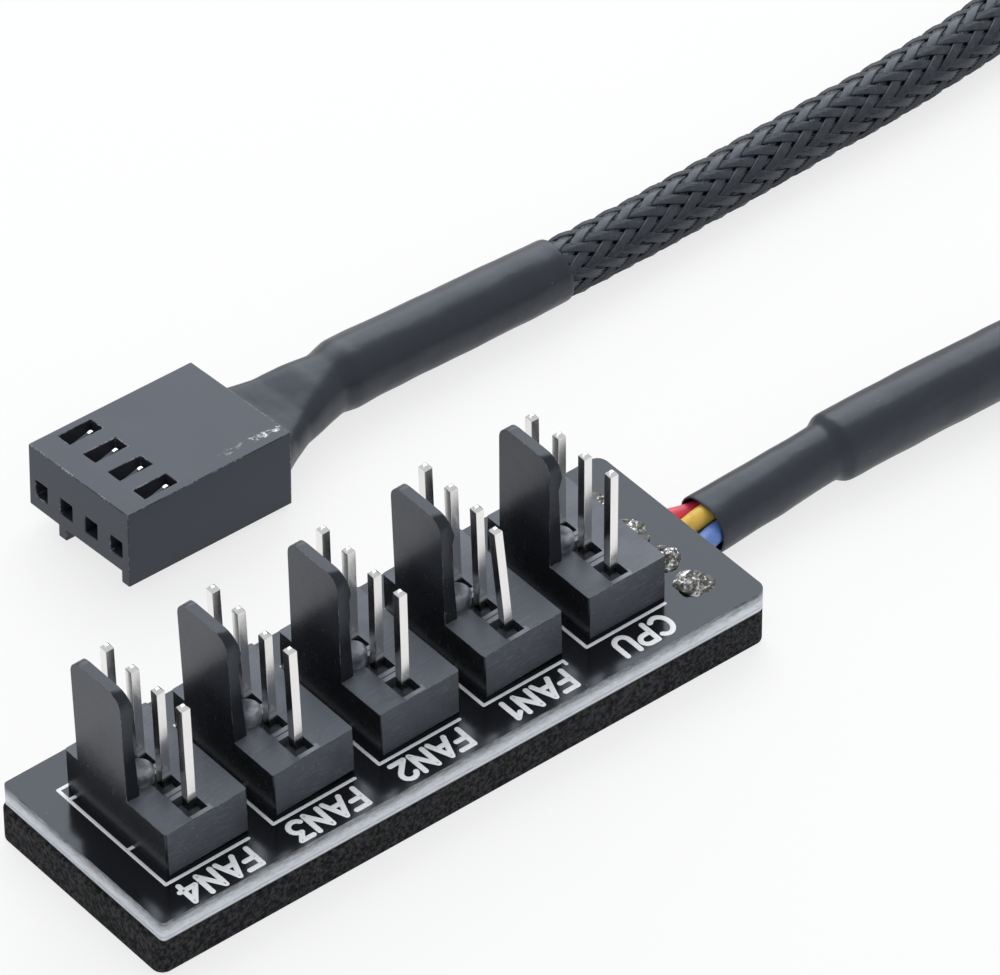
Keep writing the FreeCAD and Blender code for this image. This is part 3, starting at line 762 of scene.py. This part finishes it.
def stroke_mesh(name, strokes, width, level):
    """Flat print made of strokes with round ends. Each stroke is a list of points in metres."""
    curve = bpy.data.curves.new(name, "CURVE")
    curve.dimensions = "3D"
    curve.bevel_depth = width / 2
    curve.bevel_resolution = 3
    curve.use_fill_caps = True
    strokes = [run for stroke in strokes for run in straight_runs(stroke)]
    for stroke in strokes:
        spline = curve.splines.new("POLY")
        spline.points.add(len(stroke) - 1)
        for point, (x, y) in zip(spline.points, stroke):
            point.co = (x, y, 0.0, 1.0)
    tube = new_object(name + "_strokes", curve)
    select_only(tube)
    bpy.ops.object.convert(target="MESH")
    piece = bpy.context.object
    piece.name = name
    ends = dict.fromkeys(tuple(place) for stroke in strokes for place in (stroke[0], stroke[-1]))
    for x, y in ends:
        bpy.ops.object.select_all(action="DESELECT")
        bpy.ops.mesh.primitive_uv_sphere_add(segments=12, ring_count=8, radius=width / 2,
                                             location=(x, y, 0))
        ball = bpy.context.object
        piece.select_set(True)
        ball.select_set(True)
        bpy.context.view_layer.objects.active = piece
        bpy.ops.object.join()
    for vertex in piece.data.vertices:
        vertex.co.z = level + vertex.co.z * PRINT_FLATNESS
    select_only(piece)
    bpy.ops.object.transform_apply(location=True, rotation=True, scale=True)
    bpy.ops.object.shade_smooth()
    return piece


def header_x(index):
    return FIRST_HEADER_X + HEADER_STEP * index


def label_strokes(text, x, y, height):
    """Strokes of a word that starts at x and reads towards -X, with its top towards -Y."""
    strokes = []
    pen = 0.0
    for letter in text:
        width, lines = GLYPHS[letter]
        for line in lines:
            strokes.append([(x - (pen + px) * height, y - py * height) for px, py in line])
        pen += width + 0.27
    return strokes


class HUB_OT_silkscreen(bpy.types.Operator):
    """Adds the printed outlines and the connectors' plain labels"""

    bl_idname = "hub.silkscreen"
    bl_label = "Silkscreen"

    def execute(self, context):
        sizes = hub_sizes()
        outlines = []
        for index in range(len(HEADERS)):
            x = header_x(index)
            corner = x - 3.39 * MM
            outlines.append([(x - 2.2 * MM, 5.285 * MM), (corner, 5.285 * MM), (corner, -5.595 * MM),
                             (x + 3.05 * MM, -5.595 * MM)])
            if HEADERS[index] == "fan1":
                outlines[-1].append((x + 3.05 * MM, -5.95 * MM))
            for y in (4.18 * MM, -1.68 * MM):
                outlines.append([(corner, y), (x - 2.75 * MM, y)])
        lines = stroke_mesh("silk_lines", outlines, sizes.silk_width, BOARD_TOP)
        settle(lines, "silk_ink", slot="circuit_board")
        for index, text in enumerate(LABELS):
            start = header_x(index) + (2.2 if text == "CPU" else 2.37) * MM
            strokes = label_strokes(text, start, -6.2 * MM, sizes.letter_height)
            label = stroke_mesh("silk_label_" + HEADERS[index], strokes, sizes.letter_stroke, BOARD_TOP)
            settle(label, "silk_ink", slot="circuit_board")
        return {"FINISHED"}


class HUB_OT_foam(bpy.types.Operator):
    """Adds the foam pad"""

    bl_idname = "hub.foam"
    bl_label = "Foam pad"

    def execute(self, context):
        piece = clean_copy("foam_pad", "foam")
        settle(piece, "closed_foam", slot="foam", stands_for=["foam_pad"])
        round_edges(piece, 0.25 * MM, 3)
        return {"FINISHED"}


class HUB_OT_solder(bpy.types.Operator):
    """Adds the lumpy joints over the wires and finishes the hidden solder and wire ends"""

    bl_idname = "hub.solder"
    bl_label = "Solder"

    def execute(self, context):
        for number, name in enumerate(WIRE_NAMES):
            low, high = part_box("solder_joint_" + name)
            centre = Vector(((low[0] + high[0]) / 2, (low[1] + high[1]) / 2, BOARD_TOP))
            bpy.ops.object.select_all(action="DESELECT")
            bpy.ops.mesh.primitive_uv_sphere_add(segments=64, ring_count=32, radius=1.0, location=(0, 0, 0))
            piece = bpy.context.object
            piece.name = "joint_" + name
            seed = Vector((number * 7.3, number * 3.1, 0.0))
            for vertex in piece.data.vertices:
                way = vertex.co.normalized()
                lump = noise.noise(way * 1.2 + seed) * 0.36 + noise.noise(way * 4.5 + seed) * 0.08
                spread = JOINT_RADIUS * (1.0 + lump)
                craters = noise.noise(way * 2.6 + seed * 2) + 0.5 * noise.noise(way * 6.5 + seed)
                height = JOINT_HEIGHT * (1.0 + 0.75 * craters)
                at = Vector((way.x * spread * 0.95 - 0.22 * MM, way.y * spread,
                             max(way.z, 0.0) * height - 0.02 * MM))
                vertex.co = centre + at
            settle(piece, "rough_solder", slot="solder", stands_for=["solder_joint_" + name])
            select_only(piece)
            bpy.ops.object.shade_smooth()
            finish_node("conductor_" + name, "rough_solder")
        for header in HEADERS:
            finish_node("solder_" + header, "rough_solder")
        return {"FINISHED"}


def finish_node(node, name):
    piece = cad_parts[node]
    piece.data.materials.clear()
    piece.data.materials.append(finish(name))


def nurbs(name, points, radius):
    """Curve with those points as the controls of one smooth spline."""
    curve = bpy.data.curves.new(name, "CURVE")
    curve.dimensions = "3D"
    curve.bevel_depth = radius
    curve.bevel_resolution = 10
    curve.resolution_u = 10
    curve.use_fill_caps = True
    spline = curve.splines.new("NURBS")
    spline.points.add(len(points) - 1)
    for point, place in zip(spline.points, points):
        point.co = (*place, 1.0)
    spline.order_u = 3
    spline.use_endpoint_u = True
    return new_object(name, curve)


def spline_points(points):
    """Points along the smooth spline that a route makes."""
    line = nurbs("measure", points, 0.0)
    line.data.resolution_u = 40
    bpy.context.view_layer.update()
    mesh = bpy.data.meshes.new_from_object(line.evaluated_get(bpy.context.evaluated_depsgraph_get()))
    found = np.array([vertex.co[:] for vertex in mesh.vertices])
    bpy.data.objects.remove(line)
    bpy.data.meshes.remove(mesh)
    return found


class Track:
    """A line with its length and a frame that doesn't twist."""

    def __init__(self, points):
        gaps = np.linalg.norm(np.diff(points, axis=0), axis=1)
        self.along = np.concatenate([[0.0], np.cumsum(gaps)])
        self.length = self.along[-1]
        self.points = points
        tangents = np.gradient(points, self.along, axis=0)
        self.tangents = tangents / np.linalg.norm(tangents, axis=1)[:, None]
        up = np.array([0.0, 0.0, 1.0])
        left = np.cross(up, self.tangents)
        self.left = left / np.linalg.norm(left, axis=1)[:, None]
        self.up = np.cross(self.tangents, self.left)

    def at(self, s, angle, radius):
        """Places round the line. All three are arrays of one shape."""
        s = np.clip(s, 0.0, self.length)
        parts = []
        for source in (self.points, self.left, self.up):
            parts.append(np.stack([np.interp(s, self.along, source[:, axis]) for axis in range(3)], axis=-1))
        centre, left, up = parts
        return centre + (left * np.cos(angle)[..., None] + up * np.sin(angle)[..., None]) * radius[..., None]


def uneven(along, knots, size, shuffle):
    """A slow random wander along a line."""
    return np.interp(along, np.linspace(0, along[-1], knots), shuffle.normal(0, size, knots))


def braid_half(name, track, direction, sizes):
    """All the strand groups that turn one way, each a ribbon of four filaments."""
    groups = sizes.strands
    width = GROUP_WIDTH
    filament_radius = width / (2 * FILAMENTS)
    step = 0.5 * MM
    slope = math.atan(2 * math.pi * sizes.braid_radius / sizes.braid_lead)
    across = np.linspace(-width / 2, width / 2, 2 * FILAMENTS + 1)
    ridge = np.where(np.arange(2 * FILAMENTS + 1) % 2 == 1, filament_radius, -0.2 * filament_radius)
    ridge = ridge + BRAID_CROWN * (1.0 - (2.0 * across / width) ** 2)
    across = np.concatenate([across, [width / 2, -width / 2]])
    ridge = np.concatenate([ridge, [-filament_radius, -filament_radius]])
    count = int(track.length / step)
    along = np.linspace(0.0, track.length, count)
    ring = len(across)
    vertices = []
    faces = []
    shuffle = np.random.default_rng(11 if direction > 0 else 12)
    for group in range(groups):
        sway = uneven(along, count // 9, 0.035 * MM, shuffle)
        lift = uneven(along, count // 7, 0.018 * MM, shuffle)
        angle = 2 * math.pi * (group / groups + direction * along / sizes.braid_lead)
        over = np.cos((angle - 0.5 * math.pi / groups) * groups / 2) * direction
        height = sizes.braid_radius + BRAID_WAVE * over + lift
        shift = across[None, :] + sway[:, None]
        s = along[:, None] - direction * shift * math.sin(slope)
        theta = angle[:, None] + shift * math.cos(slope) / sizes.braid_radius
        radius = height[:, None] + ridge[None, :]
        first = len(vertices) * count * ring
        vertices.append(track.at(s, theta, radius).reshape(-1, 3))
        for row in range(count - 1):
            for column in range(ring):
                a = first + row * ring + column
                b = first + row * ring + (column + 1) % ring
                faces.append((a, b, b + ring, a + ring) if direction > 0 else (a, a + ring, b + ring, b))
    mesh = bpy.data.meshes.new(name)
    mesh.from_pydata(np.concatenate(vertices).tolist(), [], faces)
    piece = new_object(name, mesh)
    select_only(piece)
    bpy.ops.object.mode_set(mode="EDIT")
    bpy.ops.mesh.select_all(action="SELECT")
    bpy.ops.mesh.fill_holes(sides=ring)
    bpy.ops.mesh.normals_make_consistent(inside=False)
    bpy.ops.object.mode_set(mode="OBJECT")
    bpy.ops.object.shade_smooth()
    return piece


def soft_tube(node, name):
    """Heat-shrink: the solid's mesh remeshed, relaxed and dented."""
    piece = clean_copy(node, name)
    add_modifier(piece, "REMESH", mode="VOXEL", voxel_size=SHRINK_VOXEL, adaptivity=0.0)
    add_modifier(piece, "SMOOTH", factor=0.5, iterations=14)
    texture = bpy.data.textures.new(name + "_dents", "CLOUDS")
    texture.noise_scale = 3.2 * MM
    texture.noise_depth = 1
    add_modifier(piece, "DISPLACE", texture=texture, strength=SHRINK_DENTS, mid_level=0.5,
                 texture_coords="LOCAL")
    select_only(piece)
    bpy.ops.object.shade_smooth()
    return piece


class HUB_OT_cable(bpy.types.Operator):
    """Adds the braided sleeve and the heat-shrink tubes of the cable, and finishes its wires"""

    bl_idname = "hub.cable"
    bl_label = "Cable"

    def execute(self, context):
        sizes = hub_sizes()
        core = nurbs("cable", CABLE_ROUTE, sizes.braid_radius - CORE_DEPTH)
        settle(core, "sleeve_shadow", slot="braid", stands_for=["braided_sleeve"])
        track = Track(spline_points(CABLE_ROUTE))
        for direction, name in ((1, "braid_left_hand"), (-1, "braid_right_hand")):
            half = braid_half(name, track, direction, sizes)
            settle(half, "filament", slot="braid")
        for node, name in (("heat_shrink_hub", "shrink_at_hub"), ("heat_shrink_plug", "shrink_at_plug")):
            tube = soft_tube(node, name)
            settle(tube, "heat_shrink", slot="heat_shrink", stands_for=[node])
        for name in WIRE_NAMES:
            finish_node("wire_" + name, "insulation_" + name)
        return {"FINISHED"}


class HUB_OT_plug(bpy.types.Operator):
    """Adds the plug housing with its rubbed edges, which also carry a painted highlight, and finishes the
    terminals
    """

    bl_idname = "hub.plug"
    bl_label = "Plug"

    def execute(self, context):
        sizes = hub_sizes()
        piece = clean_copy("plug_housing", "plug")
        settle(piece, "plug_plastic", "edge_wear_and_highlight", slot="plug_plastic", stands_for=["plug_housing"])
        round_edges(piece, sizes.edge, 2, 1)
        for number in range(1, 5):
            finish_node(f"crimp_terminal_{number}", "spring_brass")
            self.wing(number)
        return {"FINISHED"}

    def wing(self, number):
        """Upright side of a terminal's tongue, whose bright tip shows in the housing's window."""
        # Millimetres behind the mating face, and over the plug's foot
        outline = [(2.2, 3.7), (2.3, 5.45), (3.6, 5.8), (3.8, 5.87), (3.95, 5.85), (4.08, 5.7), (4.1, 3.7)]
        near = CONTACT_STEP * (2.5 - number) - WING_OFFSET
        bpy.ops.object.select_all(action="DESELECT")
        bpy.ops.mesh.primitive_circle_add(vertices=len(outline), radius=MM, fill_type="NGON",
                                          location=(0, 0, 0))
        piece = bpy.context.object
        piece.name = f"wing_{number}"
        for vertex, (x, z) in zip(piece.data.vertices, outline):
            vertex.co = (x * MM, near, z * MM)
        bpy.ops.object.mode_set(mode="EDIT")
        bpy.ops.mesh.select_all(action="SELECT")
        bpy.ops.mesh.extrude_region_move(TRANSFORM_OT_translate={"value": (0, WING_THICKNESS, 0)})
        bpy.ops.mesh.select_all(action="SELECT")
        bpy.ops.mesh.normals_make_consistent(inside=False)
        bpy.ops.object.mode_set(mode="OBJECT")
        turn = (Matrix.Rotation(PLUG_TURN[0], 4, "Z") @ Matrix.Rotation(PLUG_TURN[1], 4, "Y")
                @ Matrix.Rotation(PLUG_TURN[2], 4, "X"))
        piece.matrix_world = Matrix.Translation(PLUG_FACE) @ turn
        top = (piece.matrix_world @ Vector((3.6 * MM, near, 5.7 * MM))).z
        select_only(piece)
        bpy.ops.object.transform_apply(location=True, rotation=True, scale=True)
        settle(piece, "plug_plastic", "spring_brass", slot="terminal")
        for face in piece.data.polygons:
            corners = [piece.data.vertices[index].co for index in face.vertices]
            if len(corners) == 4 and min(corner.z for corner in corners) > top:
                face.material_index = 1
        round_edges(piece, 0.04 * MM, 2)


def lamp(name, place, target, size, power):
    data = bpy.data.lights.new(name, "AREA")
    data.shape = "DISK"
    data.size = size
    data.energy = power
    piece = new_object(name, data)
    piece.location = place
    piece.rotation_euler = (Vector(target) - Vector(place)).to_track_quat("-Z", "Y").to_euler()


class HUB_OT_stage(bpy.types.Operator):
    """Adds the pale floor, the soft light and the camera"""

    bl_idname = "hub.stage"
    bl_label = "Stage"

    def execute(self, context):
        stage = context.scene.hub_stage
        bpy.ops.object.select_all(action="DESELECT")
        bpy.ops.mesh.primitive_plane_add(size=4.0, location=(0, 0, 0))
        floor = context.object
        floor.name = "floor"
        paint = Finish("floor_paint")
        soft = paint.grain(0.02, 2, 0.5)
        pale = hub_colours().floor
        duller = tuple(0.985 * part for part in pale)
        floor.data.materials.append(paint.set({
            "Base Color": paint.mixed(soft, duller, pale), "Roughness": 0.8}))
        self.whiten(paint)
        world = bpy.data.worlds.new("even_light")
        context.scene.world = world
        world.use_nodes = True
        ground = world.node_tree.nodes["Background"]
        ground.inputs["Color"].default_value = (0.94, 0.965, 1.0, 1.0)
        ground.inputs["Strength"].default_value = stage.world_level
        lamp("back_panel", (0.43, 0.52, 0.6), (0.01, 0.0, 0.0), 1.0, stage.panel_power)
        lamp("side_panel", (-0.5, 0.5, 0.8), (0.01, 0.0, 0.0), 0.5, stage.side_power)
        self.camera(context, stage)
        context.scene.view_settings.view_transform = "Standard"
        return {"FINISHED"}

    def whiten(self, paint):
        """Lets what sees the floor directly, or mirrors it, see mostly white with a faint shadow."""
        kinds = ("Is Camera Ray", "Is Glossy Ray", "Is Transmission Ray")
        camera, glossy, through = [paint.node("ShaderNodeLightPath", output=kind) for kind in kinds]
        white = paint.node("ShaderNodeEmission", None, {"Color": (1.0, 1.0, 1.0), "Strength": 1.0})
        matt = Value(paint.tree, paint.shader.outputs[0])
        share = (camera + glossy + through) * 0.75
        blend = paint.node("ShaderNodeMixShader", None, {0: share, 1: matt, 2: white})
        paint.tree.links.new(blend.socket, paint.tree.nodes["Material Output"].inputs["Surface"])

    def camera(self, context, stage):
        azimuth, elevation = stage.azimuth, stage.elevation
        back = Vector((math.sin(azimuth) * math.cos(elevation), -math.cos(azimuth) * math.cos(elevation),
                       math.sin(elevation)))
        right = Vector((math.cos(azimuth), math.sin(azimuth), 0.0))
        up = back.cross(right)
        turned = right * math.cos(stage.roll) - up * math.sin(stage.roll)
        raised = right * math.sin(stage.roll) + up * math.cos(stage.roll)
        data = bpy.data.cameras.new("camera")
        data.lens = stage.lens
        data.sensor_width = 36.0
        data.clip_start = 0.01
        camera = new_object("camera", data)
        turn = Matrix((turned, raised, back)).transposed().to_4x4()
        camera.matrix_world = Matrix.Translation(CAMERA_PLACE) @ turn
        context.scene.camera = camera


class HUB_PT_panel(bpy.types.Panel):
    """Lists the pieces and their settings"""

    bl_idname = "HUB_PT_panel"
    bl_label = "Fan Hub"
    bl_space_type = "VIEW_3D"
    bl_region_type = "UI"
    bl_category = "Fan Hub"

    def draw(self, context):
        for operator in OPERATORS:
            self.layout.operator(operator.bl_idname)
        for group in (context.scene.hub_sizes, context.scene.hub_colours, context.scene.hub_stage):
            box = self.layout.box()
            for name in group.__annotations__:
                box.prop(group, name)


OPERATORS = (HUB_OT_stage, HUB_OT_plug, HUB_OT_cable, HUB_OT_board, HUB_OT_silkscreen, HUB_OT_foam,
             HUB_OT_headers, HUB_OT_pins, HUB_OT_solder)
CLASSES = (HubSizes, HubColours, HubStage) + OPERATORS + (HUB_PT_panel,)


def register():
    for item in CLASSES:
        bpy.utils.register_class(item)
    bpy.types.Scene.hub_sizes = PointerProperty(type=HubSizes)
    bpy.types.Scene.hub_colours = PointerProperty(type=HubColours)
    bpy.types.Scene.hub_stage = PointerProperty(type=HubStage)


def unregister():
    for name in ("hub_sizes", "hub_colours", "hub_stage"):
        delattr(bpy.types.Scene, name)
    for item in reversed(CLASSES):
        bpy.utils.unregister_class(item)


def main():
    register()
    for operator in OPERATORS:
        group, name = operator.bl_idname.split(".")
        getattr(getattr(bpy.ops, group), name)()


if __name__ == "__main__":
    main()
